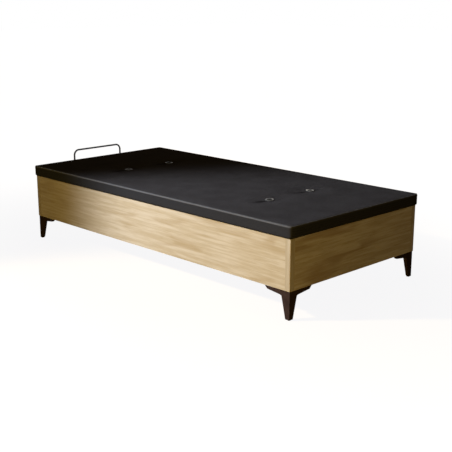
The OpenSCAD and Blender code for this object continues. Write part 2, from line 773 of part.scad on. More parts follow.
// A round grille in the mouth of each vent, with rings of small holes
module vent_grilles() {
    hole_r = vent_bore_r / 11;
    thick = 1.5;
    color([0.06, 0.06, 0.06]) vent_places() translate([0, 0, vent_seat_z]) difference() {
        cylinder(h = thick, r = grille_r - pin_play);
        for (ring = [0:3], k = [0:max(0, ring * 6 - 1)])
            rotate([0, 0, ring == 0 ? 0 : k * 60 / ring]) translate([ring * vent_bore_r / 3.9, 0, -1])
                cylinder(h = thick + 2, r = hole_r);
    }
}

module vent_back_nuts() {
    color([0.09, 0.09, 0.1]) vent_places() translate([0, 0, frame_top - nut_t]) difference() {
        cylinder(h = nut_t, r = vent_r);
        translate([0, 0, -1]) cylinder(h = nut_t + 2, r = vent_tube_r + pin_play);
    }
}

// ---------------------------------------------------------------- mattress bar

bar_x = bar_span / 2;
bar_y = foot_y - lid_over - bar_stand;
bar_low = frame_low + tube_w / 2;
bar_high = lid_top + bar_rise;
sleeve_r = 2 * bar_r;
washer_t = 1.5;
bar_nut_t = 8;

// Cylinders along Y at both of the bar's ends
module bar_holes(r, y, len) {
    for (x = [-bar_x, bar_x]) long_pin(x, y, bar_low, r, len);
}

module mattress_bar() {
    color([0.6, 0.6, 0.62]) {
        for (side = [-1, 1]) on_side(side) {
            long_pin(bar_x, bar_y + bar_low_bend, bar_low, bar_r,
                     foot_y + tube_w + bar_tail - bar_y - bar_low_bend);
            translate([bar_x, bar_y + bar_low_bend, bar_low + bar_low_bend])
                rotate([90, 0, 90]) rotate([0, 0, 180])
                    rotate_extrude(angle = 90) translate([bar_low_bend, 0]) circle(bar_r);
            translate([bar_x, bar_y, bar_low + bar_low_bend])
                cylinder(h = bar_high - bar_top_bend - bar_low - bar_low_bend, r = bar_r);
            translate([bar_x - bar_top_bend, bar_y, bar_high - bar_top_bend])
                rotate([90, 0, 0]) rotate_extrude(angle = 90) translate([bar_top_bend, 0]) circle(bar_r);
        }
        translate([bar_top_bend - bar_x, bar_y, bar_high]) rotate([0, 90, 0])
            cylinder(h = 2 * (bar_x - bar_top_bend), r = bar_r);
    }
}

// Rings that close the cover round the bar's ends and stand it off the frame
module bar_sleeves() {
    color([0.1, 0.1, 0.1]) difference() {
        bar_holes(sleeve_r, foot_y - lid_over - 1.5, lid_over + 1.5);
        bar_holes(bar_r + bar_play, foot_y - lid_over - 3, lid_over + 4);
    }
}

module bar_washers() {
    color(zinc) difference() {
        bar_holes(2 * bar_r, foot_y + tube_w, washer_t);
        bar_holes(bar_r + bar_play, foot_y + tube_w - 1, washer_t + 2);
    }
}

module bar_nuts() {
    color(zinc) difference() {
        for (x = [-bar_x, bar_x]) translate([x, foot_y + tube_w + washer_t, bar_low]) rotate([-90, 0, 0])
            cylinder(h = bar_nut_t, r = 1.9 * bar_r, $fn = 6);
        bar_holes(bar_r + pin_play, foot_y + tube_w, washer_t + bar_nut_t + 2);
    }
}

// ---------------------------------------------------------------- lift mechanism on the lid

bracket_top = frame_top - arm_r;
bracket_ends = [[head_in - guide_in - 20, bracket_top], [head_in - lid_pivot_in - 62, bracket_top]];
bolt_r = 3;
bracket_bolt_spots = [
    for (k = [0.02, 0.34, 0.66, 0.98])
        [bracket_ends[0].x + (bracket_ends[1].x - bracket_ends[0].x) * k, frame_low + tube_w / 2]
];

// Shanks of the bolts from a bracket into its rail
module bracket_bolt_set(room) {
    for (p = bracket_bolt_spots) cross_pin(bracket_x, p, bolt_r + room, bracket_t + tube_wall + 3);
}

module lid_bracket(side) {
    color(dark_steel) on_side(side) difference() {
        upright_plate(bracket_x, bracket_t) difference() {
            polygon(rounded([bracket_ends[0], guide_at, lid_pivot, bracket_ends[1]], arm_r));
            translate(guide_at) circle(guide_r + pin_play);
            translate(lid_pivot) circle(pin_r + pin_play);
            polygon(rounded(lightening, 14));
        }
        bracket_bolt_set(pin_play);
    }
}
lightening = [bracket_ends[0] + [-26, -52], lid_pivot + [20, 46], lid_pivot + [26, 4], guide_at + [-22, 50]];

module lid_bracket_bolts() {
    color(zinc) for (side = [-1, 1]) on_side(side) {
        bracket_bolt_set(0);
        for (p = bracket_bolt_spots) cross_pin(bracket_x - head_t, p, 2 * bolt_r, head_t);
    }
}

// Pins fixed in the lid's brackets: the arms turn on them
module lid_pivot_pins() {
    tip = plate_x - arm_x - arm_t - 2 * face_play;
    color(zinc) for (side = [-1, 1]) on_side(side) {
        cross_pin(bracket_x - head_t, lid_pivot, pin_r * 1.6, head_t);
        cross_pin(bracket_x, lid_pivot, pin_r, arm_x + arm_t + face_play - bracket_x);
        cross_pin(rail_x, lid_pivot, pin_r * 1.6, arm_gap - face_play);
        cross_pin(arm_x + arm_t + face_play, lid_pivot, pin_r * 1.6, tip);
    }
}

// Pins fixed in the lid's brackets: they run in the slots of the guide plates
module guide_pins() {
    color("ivory") for (side = [-1, 1]) on_side(side) {
        cross_pin(bracket_x - head_t, guide_at, guide_r * 1.6, head_t);
        cross_pin(bracket_x, guide_at, guide_r, plate_x + guide_plate_t - 1 - bracket_x);
        cross_pin(rail_x, guide_at, guide_r * 1.6, plate_x - rail_x - 0.5);
    }
}

// ---------------------------------------------------------------- arms and gas springs

bush_r = pin_r + pin_play + bush_wall;

module arm(side) {
    color(dark_steel) on_side(side) upright_plate(arm_x, arm_t) difference() {
        polygon(rounded([arm_foot, gas_ear, lid_pivot], arm_r));
        for (p = [arm_foot, lid_pivot]) translate(p) circle(bush_r + pin_play);
        translate(gas_ear) circle(stud_r + pin_play);
    }
}

module arm_bushes(side) {
    color("goldenrod") on_side(side) upright_plate(arm_x, arm_t)
        for (p = [arm_foot, lid_pivot]) translate(p) difference() {
            circle(bush_r);
            circle(pin_r + pin_play);
        }
}

module gas_arm_stud(side) {
    color(zinc) on_side(side) gas_stud(gas_ear, arm_x + arm_t);
}

gas_tube_end = gas_closed - gas_neck;
gas_gland = 8;
piston_t = 6;
piston_in = gas_neck + gas_wall * 4 + 2;
gas_rod_l = gas_closed - piston_in;

// A place along the gas spring, its lower end at the origin and its axis along Y
module on_gas_axis(place) {
    translate([gas_x, place.x, place.y]) rotate([gas_angle, 0, 0]) children();
}

// The eye at an end of a gas spring
module gas_eye() {
    translate([-gas_eye_w / 2, 0, 0]) rotate([0, 90, 0]) cylinder(h = gas_eye_w, r = gas_eye_r);
}
module gas_eye_bore() {
    translate([-gas_eye_w / 2 - 1, 0, 0]) rotate([0, 90, 0])
        cylinder(h = gas_eye_w + 2, r = stud_r + pin_play);
}

module gas_cylinder(side) {
    inner = gas_neck + gas_wall * 4;
    color([0.1, 0.1, 0.1]) on_side(side) on_gas_axis(gas_base) difference() {
        union() {
            gas_eye();
            long_pin(0, 0, 0, gas_eye_w / 2 - 1, gas_neck);
            long_pin(0, gas_neck, 0, gas_r, gas_tube_end - gas_neck);
        }
        gas_eye_bore();
        long_pin(0, inner, 0, gas_r - gas_wall, gas_tube_end - gas_gland - inner);
        long_pin(0, inner, 0, gas_rod_r + face_play, gas_tube_end);
    }
}

module gas_rod(side) {
    color([0.75, 0.76, 0.78]) on_side(side) on_gas_axis(gas_ear) difference() {
        union() {
            gas_eye();
            long_pin(0, -gas_eye_r - 3, 0, gas_rod_r + 1, gas_eye_r + 3);
            long_pin(0, -gas_rod_l, 0, gas_rod_r, gas_rod_l);
            long_pin(0, -gas_rod_l, 0, gas_r - gas_wall - face_play, piston_t);
        }
        gas_eye_bore();
    }
}

side_panel(1);  // side_panel_right
side_panel(-1);  // side_panel_left
end_panel(true);  // head_panel
end_panel(false);  // foot_panel
corner_post(1, true);  // corner_post_head_right
corner_post(-1, true);  // corner_post_head_left
corner_post(1, false);  // corner_post_foot_right
corner_post(-1, false);  // corner_post_foot_left
corner_dowels();
side_batten(1);  // side_batten_right
side_batten(-1);  // side_batten_left
end_batten(true);  // head_batten
end_batten(false);  // foot_batten
cross_rail();
bottom_board(true);  // bottom_board_head
bottom_board(false);  // bottom_board_foot
leg(1, true);  // leg_head_right
leg(-1, true);  // leg_head_left
leg(1, false);  // leg_foot_right
leg(-1, false);  // leg_foot_left
leg_screws();
leg_glides();
guide_plate(1);  // guide_plate_right
guide_plate(-1);  // guide_plate_left
guide_plate_screws();
arm_pivot_pins();
gas_base_studs();
frame_rail(1);  // frame_rail_right
frame_rail(-1);  // frame_rail_left
end_rail(true);  // frame_rail_head
end_rail(false);  // frame_rail_foot
frame_cross_tubes();
lid_board();
foam_pad();
lid_cover();
lid_bumpers();
vent_rings();
vent_grilles();
vent_back_nuts();
mattress_bar();
bar_sleeves();
bar_washers();
bar_nuts();
lid_bracket(1);  // lid_bracket_right
lid_bracket(-1);  // lid_bracket_left
lid_bracket_bolts();
lid_pivot_pins();
guide_pins();
arm(1);  // arm_right
arm(-1);  // arm_left
arm_bushes(1);  // arm_bushes_right
arm_bushes(-1);  // arm_bushes_left
gas_arm_stud(1);  // gas_arm_stud_right
gas_arm_stud(-1);  // gas_arm_stud_left
gas_cylinder(1);  // gas_cylinder_right
gas_cylinder(-1);  // gas_cylinder_left
gas_rod(1);  // gas_rod_right
gas_rod(-1);  // gas_rod_left
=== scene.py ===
import math

import bmesh
import bpy
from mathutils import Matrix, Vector


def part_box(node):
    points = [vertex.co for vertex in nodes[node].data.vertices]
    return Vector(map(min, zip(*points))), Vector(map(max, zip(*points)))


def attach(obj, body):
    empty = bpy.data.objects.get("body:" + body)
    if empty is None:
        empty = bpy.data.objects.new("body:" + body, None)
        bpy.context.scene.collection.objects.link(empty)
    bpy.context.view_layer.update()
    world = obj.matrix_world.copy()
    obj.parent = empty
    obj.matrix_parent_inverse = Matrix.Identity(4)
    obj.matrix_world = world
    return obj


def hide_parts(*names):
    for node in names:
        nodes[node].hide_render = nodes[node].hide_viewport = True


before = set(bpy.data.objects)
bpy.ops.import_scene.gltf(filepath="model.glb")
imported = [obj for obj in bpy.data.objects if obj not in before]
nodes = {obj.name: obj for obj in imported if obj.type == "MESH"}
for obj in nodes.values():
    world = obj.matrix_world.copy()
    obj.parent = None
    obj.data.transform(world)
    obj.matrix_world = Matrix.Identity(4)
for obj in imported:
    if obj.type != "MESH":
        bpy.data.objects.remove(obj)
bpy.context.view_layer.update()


# ---------------------------------------------------------------------------
# The four panels of the box: board with a light oak veneer, its grain running along each panel,
# doweled edge to edge into the corner posts and finished with a thin satin lacquer.

class Tint:
    """A socket of a finish's node tree. Operators on it add the maths nodes."""

    def __init__(self, tree, socket=None):
        self.tree, self.socket = tree, socket

    def feed(self, slot, value):
        """Links a Tint to a node's socket, or sets a plain value there."""
        if isinstance(value, Tint):
            self.tree.links.new(value.socket, slot)
        else:
            slot.default_value = value

    def node(self, kind, settings=None, **inputs):
        """Adds a node: its type, its settings, then what feeds its sockets, by name or as _number."""
        made = self.tree.nodes.new("ShaderNode" + kind)
        for name, value in (settings or {}).items():
            setattr(made, name, value)
        for name, value in inputs.items():
            slot = int(name[1:]) if name.startswith("_") else name.replace("_", " ")
            self.feed(made.inputs[slot], value)
        return made

    def take(self, kind, output, settings=None, **inputs):
        return Tint(self.tree, self.node(kind, settings, **inputs).outputs[output])

    def maths(self, operation, first, second=0.0):
        return self.take("Math", 0, {"operation": operation}, _0=first, _1=second)

    def __add__(self, other):
        return self.maths("ADD", self, other)

    def __radd__(self, other):
        return self.maths("ADD", other, self)

    def __sub__(self, other):
        return self.maths("SUBTRACT", self, other)

    def __rsub__(self, other):
        return self.maths("SUBTRACT", other, self)

    def __mul__(self, other):
        return self.maths("MULTIPLY", self, other)

    def __rmul__(self, other):
        return self.maths("MULTIPLY", other, self)

    def __truediv__(self, other):
        return self.maths("DIVIDE", self, other)

    def __rtruediv__(self, other):
        return self.maths("DIVIDE", other, self)

    def __pow__(self, other):
        return self.maths("POWER", self, other)

    def __rpow__(self, other):
        return self.maths("POWER", other, self)

    def __abs__(self):
        return self.maths("ABSOLUTE", self)

    def sine(self):
        return self.maths("SINE", self)

    def held(self, low, high, to_low=0.0, to_high=1.0):
        """A smooth step between two levels, as the value goes from low to high."""
        return self.take("MapRange", 0, {"interpolation_type": "SMOOTHSTEP"}, Value=self, From_Min=low,
                         From_Max=high, To_Min=to_low, To_Max=to_high)

    def noise(self, scale, detail=3.0, rough=0.5):
        return self.take("TexNoise", 0, Vector=self, Scale=scale, Detail=detail, Roughness=rough)

    def stretched(self, size, shift=(0, 0, 0)):
        return self.take("Mapping", 0, Vector=self, Scale=size, Location=shift)

    def split(self):
        return [Tint(self.tree, part) for part in self.node("SeparateXYZ", _0=self).outputs]


def linear(colour):
    """A written sRGB colour as the linear one that a shader takes."""
    return tuple(c / 12.92 if c <= 0.04045 else ((c + 0.055) / 1.055) ** 2.4 for c in colour) + (1.0,)


def blended(share, one, two):
    """Two colours mixed by a share from 0 to 1."""
    one, two = (colour if isinstance(colour, Tint) else linear(colour) for colour in (one, two))
    return share.take("Mix", 2, {"data_type": "RGBA"}, Factor=share, _6=one, _7=two)


def finish(name, colour, roughness, height=None, depth=0.0, **plain):
    """A material with its own node tree. The colour, roughness and height may each be a function of a
    place in the piece's own coordinates, and the depth is how far the height goes in."""
    material = bpy.data.materials.new(name)
    material.use_nodes = True
    shader = material.node_tree.nodes["Principled BSDF"]
    place = Tint(material.node_tree).take("TexCoord", "Object")
    place.feed(shader.inputs["Base Color"], colour(place) if callable(colour) else linear(colour))
    place.feed(shader.inputs["Roughness"], roughness(place) if callable(roughness) else roughness)
    if height:
        bump = place.take("Bump", 0, Height=height(place), Distance=depth, Strength=1.0)
        place.feed(shader.inputs["Normal"], bump)
    for socket, value in plain.items():
        place.feed(shader.inputs[socket.replace("_", " ")], value)
    return material


def dress(material, *names):
    """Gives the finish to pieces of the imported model."""
    for name in names:
        piece = nodes[name]
        piece.data.materials.clear()
        piece.data.materials.append(material)


ACROSS, ALONG, UP = 0, 1, 2
OAK_PALE, OAK_MID, OAK_DEEP = (0.868, 0.81, 0.742), (0.80, 0.729, 0.632), (0.67, 0.56, 0.40)
# How close the marks of the grain come: along it, and across it.
STREAKS, BANDS, FIGURE, PORES = (4.0, 88.0), (1.4, 7.0), (0.8, 4.6), (12.0, 260.0)
FIGURE_RINGS, FIGURE_SHARE, PORE_SHARE, STREAK_SPREAD = 46.0, 0.36, 0.24, 0.15


def oak(name, along, shift, tone=1.0, bold=1.0):
    """Oak whose grain runs along one axis: long streaks, arched figure and short pores."""
    pale, middle, deep = (tuple(c * tone for c in colour) for colour in (OAK_PALE, OAK_MID, OAK_DEEP))
    spread = STREAK_SPREAD / bold

    def lay(place, marks):
        lengthwise, sideways = marks
        return place.stretched([lengthwise if axis == along else sideways for axis in range(3)], shift)

    def figure(place):
        wander = lay(place, FIGURE).noise(1.0, rough=0.6)
        rings = (wander * FIGURE_RINGS).sine() * 0.5 + 0.5
        return rings.held(0.3, 1.0)

    def pores(place):
        return lay(place, PORES).noise(1.0, rough=0.65).held(0.54, 0.68)

    def colour(place):
        streaks = lay(place, STREAKS).noise(1.0, detail=4.0, rough=0.6)
        bands = lay(place, BANDS).noise(1.0, detail=2.0).held(0.44, 0.60)
        body = blended(streaks.held(0.5 - spread, 0.5 + spread), pale, middle)
        body = blended(figure(place) * (FIGURE_SHARE * bold) * bands, body, deep)
        return blended(pores(place) * (PORE_SHARE * bold), body, deep)

    def sheen(place):
        return pores(place) * 0.12 + 0.54

    def height(place):
        return 1.0 - pores(place) * 0.7 - figure(place) * 0.12

    return finish(name, colour, sheen, height, depth=0.0002, Specular_IOR_Level=0.03)


dress(oak("oak veneer right side", ALONG, (0.0, 0.0, 0.0)), "side_panel_right")
dress(oak("oak veneer left side", ALONG, (3.1, 1.7, 0.4)), "side_panel_left")
dress(oak("oak veneer head end", ACROSS, (1.3, 5.2, 2.4), tone=1.025, bold=1.9), "head_panel")
dress(oak("oak veneer foot end", ACROSS, (4.6, 2.2, 1.1)), "foot_panel")


# ---------------------------------------------------------------------------
# Corner posts: solid oak, planed square, the outer edge eased, the grain upright.
# They take the dowels of both panels and stand on the legs.

CORNERS = ("head_right", "head_left", "foot_right", "foot_left")
POST_TONE = 0.955
for number, corner in enumerate(CORNERS):
    shift = (number * 2.3, number * 1.1, 0.3)
    dress(oak("oak post " + corner, UP, shift, POST_TONE), "corner_post_" + corner)


# ---------------------------------------------------------------------------
# The bottom: planed pine battens screwed round the inside, a cross rail and two sheets of hardboard
# that lie on them. Beech dowels sit hidden between posts and panels.

PINE, PINE_DARK = (0.86, 0.74, 0.54), (0.74, 0.58, 0.36)
BEECH, BEECH_DARK = (0.80, 0.64, 0.45), (0.72, 0.55, 0.37)
HARDBOARD, HARDBOARD_FLECK = (0.66, 0.52, 0.36), (0.54, 0.41, 0.27)
FIBRES = 60.0


def plain_wood(name, pale, dark, along):
    """Bare wood with fine straight fibres along one axis."""
    def fibres(place, lengthwise, sideways):
        return place.stretched([lengthwise if axis == along else sideways for axis in range(3)])

    def colour(place):
        streaks = fibres(place, 2.0, FIBRES).noise(1.0, detail=4.0, rough=0.6)
        return blended(streaks.held(0.3, 0.7), pale, dark)

    def height(place):
        return fibres(place, 5.0, 4 * FIBRES).noise(1.0, detail=2.0)

    return finish(name, colour, 0.62, height, depth=0.00015, Specular_IOR_Level=0.3)


def mottled(one, two, scale, detail=3.0, rough=0.5, low=0.3, high=0.7):
    """A colour in soft patches of two shades."""
    def colour(place):
        return blended(place.noise(scale, detail, rough).held(low, high), one, two)

    return colour


def grain(scale, detail=3.0, rough=0.5):
    """The height of a fine, even grain."""
    def height(place):
        return place.noise(scale, detail, rough)

    return height


dress(plain_wood("pine long battens", PINE, PINE_DARK, ALONG), "side_batten_right", "side_batten_left")
dress(plain_wood("pine cross battens", PINE, PINE_DARK, ACROSS), "head_batten", "foot_batten", "cross_rail")
dress(plain_wood("beech dowels", BEECH, BEECH_DARK, UP), "corner_dowels")
hardboard = finish("hardboard", mottled(HARDBOARD, HARDBOARD_FLECK, 240.0, rough=0.7, low=0.35), 0.55,
                   grain(300.0, detail=2.0), depth=0.0001)
dress(hardboard, "bottom_board_head", "bottom_board_foot")


# ---------------------------------------------------------------------------
# Legs: each is moulded in one piece in dark brown plastic, an L of two tapering walls with a wing on
# either side under the panels. Screws go up through its flat top, and a felt glide is stuck under it.

LEG_BROWN, LEG_SHADE = (0.28, 0.222, 0.218), (0.24, 0.188, 0.186)
FELT, FELT_SHADE = (0.20, 0.19, 0.18), (0.10, 0.10, 0.10)


def patchy(base, swing, scale, detail=3.0, rough=0.5):
    """A roughness that goes up in patches from a base."""
    def roughness(place):
        return place.noise(scale, detail, rough) * swing + base

    return roughness


def flecked(one, two, scale, detail=3.0):
    """A colour that drifts between two shades."""
    def colour(place):
        return blended(place.noise(scale, detail), one, two)

    return colour


moulded_brown = finish("moulded dark brown", mottled(LEG_BROWN, LEG_SHADE, 26.0, rough=0.55),
                       patchy(0.40, 0.14, 60.0), grain(1100.0, detail=2.0, rough=0.6), depth=0.00008,
                       Specular_IOR_Level=0.0)
dress(moulded_brown, *("leg_" + corner for corner in CORNERS))
felt = finish("felt", flecked(FELT, FELT_SHADE, 900.0, detail=2.0), 0.95, grain(1500.0, detail=2.0),
              depth=0.0003)
dress(felt, "leg_glides")


# ---------------------------------------------------------------------------
# Fixings: screws, nuts, washers, bolts and the turned pins of the lift. All are steel with a bright
# zinc plate, and are driven, bolted or pressed in where the pieces meet.

ZINC, ZINC_DULL = (0.74, 0.75, 0.76), (0.62, 0.63, 0.64)


def worn_metal(name, bright, dull, roughness):
    """Bare or plated metal, dulled in patches by handling."""
    return finish(name, mottled(bright, dull, 70.0, rough=0.6, low=0.35),
                  patchy(roughness, 0.18, 160.0, rough=0.6), grain(600.0, detail=2.0), depth=0.00003,
                  Metallic=1.0)


dress(worn_metal("zinc plate", ZINC, ZINC_DULL, 0.28), "leg_screws", "guide_plate_screws",
      "lid_bracket_bolts", "bar_washers", "bar_nuts", "arm_pivot_pins", "gas_base_studs",
      "lid_pivot_pins", "gas_arm_stud_right", "gas_arm_stud_left")


# ---------------------------------------------------------------------------
# The lift: pressed steel plates and arms under a black powder coat, one set at each long panel.
# Nylon guide pins run in the plates' slots, and bronze bushes carry the arms.

COAT_BLACK = (0.13, 0.13, 0.135)
BRONZE, BRONZE_DULL = (0.68, 0.52, 0.30), (0.55, 0.40, 0.22)
NYLON, NYLON_SHADE = (0.84, 0.83, 0.77), (0.78, 0.77, 0.70)


def powder_coat(name, tone):
    """Baked paint: one tone, a little deeper in places, with a fine orange peel."""
    deeper = tuple(c * 0.82 for c in tone)
    return finish(name, mottled(tone, deeper, 35.0, detail=2.0), patchy(0.38, 0.16, 420.0, detail=2.0),
                  grain(900.0, detail=2.0), depth=0.00008)


dress(powder_coat("black powder coat", COAT_BLACK), "guide_plate_right", "guide_plate_left",
      "lid_bracket_right", "lid_bracket_left", "arm_right", "arm_left")
dress(worn_metal("bronze bush", BRONZE, BRONZE_DULL, 0.34), "arm_bushes_right", "arm_bushes_left")
dress(finish("nylon", flecked(NYLON, NYLON_SHADE, 90.0), 0.4, grain(700.0), depth=0.00003), "guide_pins")


# ---------------------------------------------------------------------------
# Gas springs: one beside each arm, a steel tube lacquered black with a ground and plated rod that
# comes out of it as the lid rises. The eye at each end turns on a stud.

LACQUER_BLACK = (0.085, 0.085, 0.09)
PLATING, PLATING_DULL = (0.80, 0.81, 0.83), (0.72, 0.73, 0.75)
dress(powder_coat("black lacquer", LACQUER_BLACK), "gas_cylinder_right", "gas_cylinder_left")
dress(worn_metal("plated rod", PLATING, PLATING_DULL, 0.10), "gas_rod_right", "gas_rod_left")


# ---------------------------------------------------------------------------
# The lid's frame: four rails and five cross tubes of square steel tube, welded where they meet and
# powder coated black. The cover hides it from outside.

FRAME_BLACK = (0.11, 0.11, 0.115)
dress(powder_coat("black frame tube", FRAME_BLACK), "frame_rail_right", "frame_rail_left",
      "frame_rail_head", "frame_rail_foot", "frame_cross_tubes")


# ---------------------------------------------------------------------------
# Board and foam on the frame: a sheet of raw chipboard, seen from below between the tubes, and a
# thin pad of pale foam laid over it. The cover holds both down.

CHIPS, CHIPS_DARK = (0.70, 0.56, 0.38), (0.52, 0.39, 0.25)
FOAM, FOAM_SHADE = (0.86, 0.86, 0.84), (0.76, 0.76, 0.73)
raw_chips = mottled(CHIPS, CHIPS_DARK, 130.0, detail=4.0, rough=0.75, low=0.35, high=0.68)
dress(finish("raw board", raw_chips, 0.7, grain(160.0), depth=0.0003), "lid_board")
dress(finish("foam", flecked(FOAM, FOAM_SHADE, 500.0), 0.9, grain(900.0), depth=0.0004), "foam_pad")


# ---------------------------------------------------------------------------
# The cover: dark grey spacer mesh cloth, wadded, drawn down over the frame and turned under it.
# A seam runs round the top edge, and each air vent pins the cloth down in a small dimple.

cover_low, cover_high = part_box("lid_cover")
COVER_HALF = Vector(((cover_high.x - cover_low.x) / 2, (cover_high.y - cover_low.y) / 2))
cover_mid_y = (cover_low.y + cover_high.y) / 2
# The roll of the top edge, the corners in plan, the crown of the top, and the draw of the sides.
EDGE, CORNER, CROWN, SIDE_DRAW = 0.009, 0.014, 0.0015, 0.0004
VENT_X, VENT_HEAD_Y, VENT_FOOT_Y = 0.144, 0.545, 0.505
# A dimple: its reach both ways, its depth, and the seat under the vent. The cloth stays above the foam.
TUFT_LONG, TUFT_SHORT, TUFT_DEPTH, TUFT_SEAT = 0.112, 0.062, 0.005, 0.0327
TUFT_TRIM, TUFT_LEAST, DEEPEST = 0.2, 0.001, 0.0068
# A crease: its size, where it leaves the seat, how soon it is full, how it slants and widens.
FOLD_DEPTH, FOLD_LONG, FOLD_WIDE = 0.0038, 0.13, 0.011
FOLD_ROOT, FOLD_RISE, FOLD_SLANT, FOLD_NARROW, FOLD_WIDENS = 0.62, 0.012, 0.06, 0.7, 0.8
# The fainter pair beside it: how far off, how it spreads, and its width and depth to the crease's own.
PAIR_OFF, PAIR_SPREAD, PAIR_WIDE, PAIR_DEPTH = 0.016, 0.16, 0.7, 0.4


def smooth(t):
    """A smooth step from 0 to 1."""
    t = min(1.0, max(0.0, t))
    return t * t * (3 - 2 * t)


def drawn_to_corner(x, y):
    """A place of the square grid drawn in to the cover's round corners."""
    u, v = (max(0.0, abs(p) - half + CORNER) for p, half in zip((x, y), COVER_HALF))
    su = u * math.sqrt(1 - v * v / (2 * CORNER ** 2))
    sv = v * math.sqrt(1 - u * u / (2 * CORNER ** 2))
    return math.copysign(abs(x) - u + su, x), math.copysign(abs(y) - v + sv, y)


def inset_of(x, y):
    """How far a place lies inside the cover's outline."""
    u, v = (abs(p) - half + CORNER for p, half in zip((x, y), COVER_HALF))
    return CORNER - math.hypot(u, v) if u > 0 and v > 0 else CORNER - max(u, v)


def from_vent(x, y):
    """How far a place lies from the nearest vent, across the lid and along it."""
    return abs(x) - VENT_X, y - VENT_HEAD_Y if y > 0 else y + VENT_FOOT_Y


def folded(x, y):
    """Depth of the creases that run across the lid from each vent, with a fainter pair beside them."""
    dx, dy = from_vent(x, y)
    away = abs(dx) - TUFT_SEAT * FOLD_ROOT
    if not 0 < away < FOLD_LONG:
        return 0.0
    fade = smooth(away / FOLD_RISE) * (1 - smooth(away / FOLD_LONG))
    wide = FOLD_WIDE * (FOLD_NARROW + FOLD_WIDENS * away / FOLD_LONG)
    main = math.exp(-((dy - FOLD_SLANT * dx) / wide) ** 2)
    beside = math.exp(-((abs(dy) - PAIR_OFF - PAIR_SPREAD * away) / (PAIR_WIDE * wide)) ** 2)
    return FOLD_DEPTH * fade * (main + PAIR_DEPTH * beside)


def tufted(x, y):
    """1 on a vent's seat, falling to 0 past the folds that it draws in the cloth."""
    dx, dy = from_vent(x, y)
    d = math.hypot(dx, dy)
    reach = math.hypot(TUFT_LONG * dx, TUFT_SHORT * dy) / d if d else 1.0
    return 1 - smooth((d - TUFT_SEAT) / max(TUFT_LEAST, reach - TUFT_SEAT * TUFT_TRIM))


def cover_top(x, y):
    """Height of the cloth: crowned, sunk at the vents, and rolled over at the edge."""
    crown = CROWN * smooth(max(abs(x) / COVER_HALF.x, abs(y) / COVER_HALF.y) ** 4)
    seat = CROWN * smooth((VENT_FOOT_Y / COVER_HALF.y) ** 4) + TUFT_DEPTH
    share = tufted(x, y)
    sunk = min(DEEPEST, crown * (1 - share) + seat * share + folded(x, y))
    lean = max(0.0, EDGE - inset_of(x, y))
    return cover_high.z - sunk - EDGE + math.sqrt(max(0.0, EDGE ** 2 - lean ** 2))


COARSE = 0.03
EDGE_SHARES = (1.0, 0.75, 0.52, 0.33, 0.18, 0.08, 0.02)
# Closer places round a vent: how far out to either side, and how far apart.
CLOSE_ACROSS = ((0.144, 0.006),)
CLOSE_ALONG = ((0.04, 0.0025), (0.075, 0.008))


def stations(half, vent, close):
    """Places across the cover: an even pitch, closer round a vent and on the rolled edge."""
    found = {0.0, half}
    place = COARSE
    while place < half - EDGE:
        found.add(round(place, 5))
        place += COARSE
    for span, pitch in close:
        for k in range(-int(span / pitch), int(span / pitch) + 1):
            if 0 < vent + k * pitch < half - EDGE:
                found.add(round(vent + k * pitch, 5))
    for share in EDGE_SHARES:
        found.add(round(half - EDGE * share, 6))
    return sorted({-p for p in found} | found)


columns = stations(COVER_HALF.x, VENT_X, CLOSE_ACROSS)
rows = ([y for y in stations(COVER_HALF.y, VENT_FOOT_Y, CLOSE_ALONG) if y < 0]
        + [y for y in stations(COVER_HALF.y, VENT_HEAD_Y, CLOSE_ALONG) if y >= 0])
cover_shape = bmesh.new()
grid = [[cover_shape.verts.new((px, py + cover_mid_y, cover_top(px, py)))
         for px, py in (drawn_to_corner(x, y) for x in columns)] for y in rows]
for low, high in zip(grid, grid[1:]):
    for k in range(len(columns) - 1):
        cover_shape.faces.new((low[k], low[k + 1], high[k + 1], high[k]))
rim = grid[0][:-1] + [row[-1] for row in grid[:-1]] + grid[-1][:0:-1] + [row[0] for row in grid[:0:-1]]
rim_places = [(v.co.x, v.co.y - cover_mid_y) for v in rim]

# From the rim the cloth goes down the side, curls under at the hem, and comes up again inside, round
# the frame. Each ring of it has a height, and how far it is drawn in.
SIDE_SHARES = (0.12, 0.25, 0.4, 0.55, 0.7, 0.82)
HEM_CURL = ((0.006, 0.0007), (0.0035, 0.0018), (0.0014, 0.0036), (0.0003, 0.0060), (0.0, 0.0085))
HEM_WIDE, HEM_THICK, SIDE_THICK, TOP_THICK = 0.036, 0.0015, 0.003, 0.0073
side_top, hem_z = cover_high.z - CROWN - EDGE, cover_low.z
side_rings = [(side_top - (side_top - hem_z) * share, SIDE_DRAW * math.sin(math.pi * share) ** 0.7)
              for share in SIDE_SHARES]
hem_rings = [(hem_z + rise, draw) for rise, draw in HEM_CURL] + [(hem_z, HEM_WIDE)]
inner_rings = [(hem_z + HEM_THICK, HEM_WIDE), (hem_z + HEM_THICK, SIDE_THICK),
               (cover_high.z - TOP_THICK, SIDE_THICK)]
above = rim
for height, draw in side_rings + hem_rings + inner_rings:
    in_x, in_y = 1 - draw / COVER_HALF.x, 1 - draw / COVER_HALF.y
    below = [cover_shape.verts.new((x * in_x, y * in_y + cover_mid_y, height)) for x, y in rim_places]
    for k in range(len(rim)):
        cover_shape.faces.new((above[k - 1], below[k - 1], below[k], above[k]))
    above = below
cover_shape.faces.new(above)


def sewn_piece(name, shape):
    """A smooth piece in the scene from a finished shape."""
    bmesh.ops.recalc_face_normals(shape, faces=shape.faces)
    mesh = bpy.data.meshes.new(name)
    shape.to_mesh(mesh)
    shape.free()
    for face in mesh.polygons:
        face.use_smooth = True
    piece = bpy.data.objects.new(name, mesh)
    bpy.context.scene.collection.objects.link(piece)
    return piece


